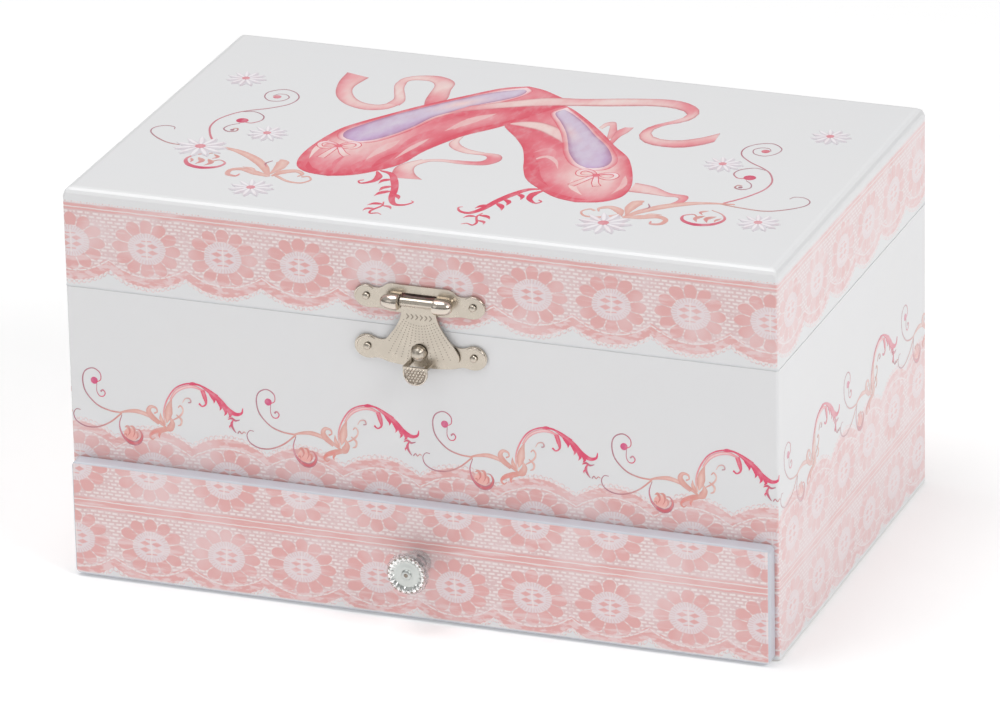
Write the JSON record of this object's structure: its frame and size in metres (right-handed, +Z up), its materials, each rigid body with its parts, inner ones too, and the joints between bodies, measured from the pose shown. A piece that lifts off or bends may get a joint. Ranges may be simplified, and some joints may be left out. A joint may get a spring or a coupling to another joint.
{
  "type": "ballerina jewellery box",
  "caption": "Lidded jewellery box with a front drawer, snap clasp, ring rolls, trays, a mirror in the lid and a wind-up music movement that turns a small dancer.",
  "frame": {"origin": "centre of the base's underside, on the resting plane", "axes": "+X to the right seen from the front, +Y to the back, +Z up"},
  "size_m": [0.225, 0.1727, 0.124],
  "materials": {
    "fibreboard": "raw fibreboard, matt",
    "printed_paper": "satin coated printed paper, lace and scroll pattern on white",
    "pink_felt": "short flock, matt",
    "pink_satin": "satin covered card",
    "nickel": "warm nickel plate, satin",
    "brass": "turned brass",
    "steel": "spring steel, ground",
    "die_cast_zinc": "die-cast, matt",
    "clear_acrylic": "clear moulded",
    "mirror_glass": "silvered glass",
    "painted_figure": "hand painted plastic",
    "white_tulle": "stiffened tulle"
  },
  "bodies": {
    "case": {"base_board": "fibreboard", "left_side_board": "fibreboard", "right_side_board": "fibreboard", "back_board": "fibreboard", "front_upper_board": "fibreboard", "divider_board": "fibreboard", "body_paper": "printed_paper", "floor_felt": "pink_felt", "ring_roll_1": "pink_felt", "ring_roll_2": "pink_felt", "ring_roll_3": "pink_felt", "ring_roll_4": "pink_felt", "movement_cover": "pink_satin", "long_partition": "pink_satin", "short_partition": "pink_satin", "ring_shelf": "pink_satin", "body_hinge_leaf_left": "nickel", "body_hinge_leaf_right": "nickel", "hinge_pin_left": "nickel", "hinge_pin_right": "nickel", "clasp_lower_plate": "nickel", "lower_nail_left": "nickel", "lower_nail_right": "nickel", "movement_bedplate": "die_cast_zinc", "comb": "steel", "comb_screw_front": "steel", "comb_screw_rear": "steel"},
    "lid": {"lid_top_board": "fibreboard", "lid_rail_front": "fibreboard", "lid_rail_back": "fibreboard", "lid_rail_left": "fibreboard", "lid_rail_right": "fibreboard", "lid_paper": "printed_paper", "lid_lining": "pink_satin", "lid_mirror": "mirror_glass", "lid_hinge_leaf_left": "nickel", "lid_hinge_leaf_right": "nickel", "clasp_upper_plate": "nickel", "upper_nail_left": "nickel", "upper_nail_right": "nickel", "clasp_pin": "steel"},
    "hasp": {"hasp": "nickel"},
    "drawer": {"drawer_front_board": "fibreboard", "drawer_side_left": "fibreboard", "drawer_side_right": "fibreboard", "drawer_back": "fibreboard", "drawer_bottom": "fibreboard", "drawer_front_paper": "printed_paper", "drawer_felt": "pink_felt", "drawer_knob": "clear_acrylic"},
    "key": {"winding_arbor": "steel", "winding_key": "nickel"},
    "barrel": {"spring_barrel": "brass"},
    "cylinder": {"music_cylinder": "brass"},
    "dancer": {"dancer_spindle": "brass", "dancer_spring": "steel", "dancer_figure": "painted_figure", "dancer_skirt": "white_tulle"},
    "governor": {"governor": "brass"},
    "stop_pin": {"stop_pin": "steel"}
  },
  "joints": [
    {"name": "lid_hinge", "type": "hinge", "parent": "case", "child": "lid", "pos_m": [0, 0.0729, 0.0927], "axis": [-1, 0, 0], "range_deg": [0, 100]},
    {"name": "hasp_hinge", "type": "hinge", "parent": "lid", "child": "hasp", "pos_m": [0.0015, -0.0734, 0.1014], "axis": [-1, 0, 0], "range_deg": [0, 120]},
    {"name": "drawer_slide", "type": "slide", "parent": "case", "child": "drawer", "axis": [0, -1, 0], "range_m": [0, 0.095]},
    {"name": "key_wind", "type": "hinge", "parent": "case", "child": "key", "pos_m": [-0.0135, 0.071, 0.0545], "axis": [0, 1, 0], "range_deg": [0, 1620]},
    {"name": "barrel_spin", "type": "hinge", "parent": "case", "child": "barrel", "pos_m": [-0.0135, 0.05, 0.0545], "axis": [0, 1, 0], "continuous": true},
    {"name": "cylinder_spin", "type": "hinge", "parent": "case", "child": "cylinder", "pos_m": [0, 0.037, 0.0545], "axis": [0, 1, 0], "continuous": true},
    {"name": "dancer_spin", "type": "hinge", "parent": "case", "child": "dancer", "pos_m": [0, 0.033, 0.069], "axis": [0, 0, 1], "continuous": true},
    {"name": "governor_spin", "type": "hinge", "parent": "case", "child": "governor", "pos_m": [0.0064, 0.05025, 0.0545], "axis": [0, 0, 1], "continuous": true},
    {"name": "stop_pin_lift", "type": "slide", "parent": "case", "child": "stop_pin", "axis": [0, 0, 1], "range_m": [0, 0.0032]}
  ],
  "couplings": [
    {"joint": "cylinder_spin", "follows": "barrel_spin", "ratio": -2.75},
    {"joint": "dancer_spin", "follows": "barrel_spin", "ratio": -2.1389},
    {"joint": "governor_spin", "follows": "barrel_spin", "ratio": 33},
    {"joint": "stop_pin_lift", "follows": "lid_hinge", "m_per_rad": 0.00172}
  ]
}
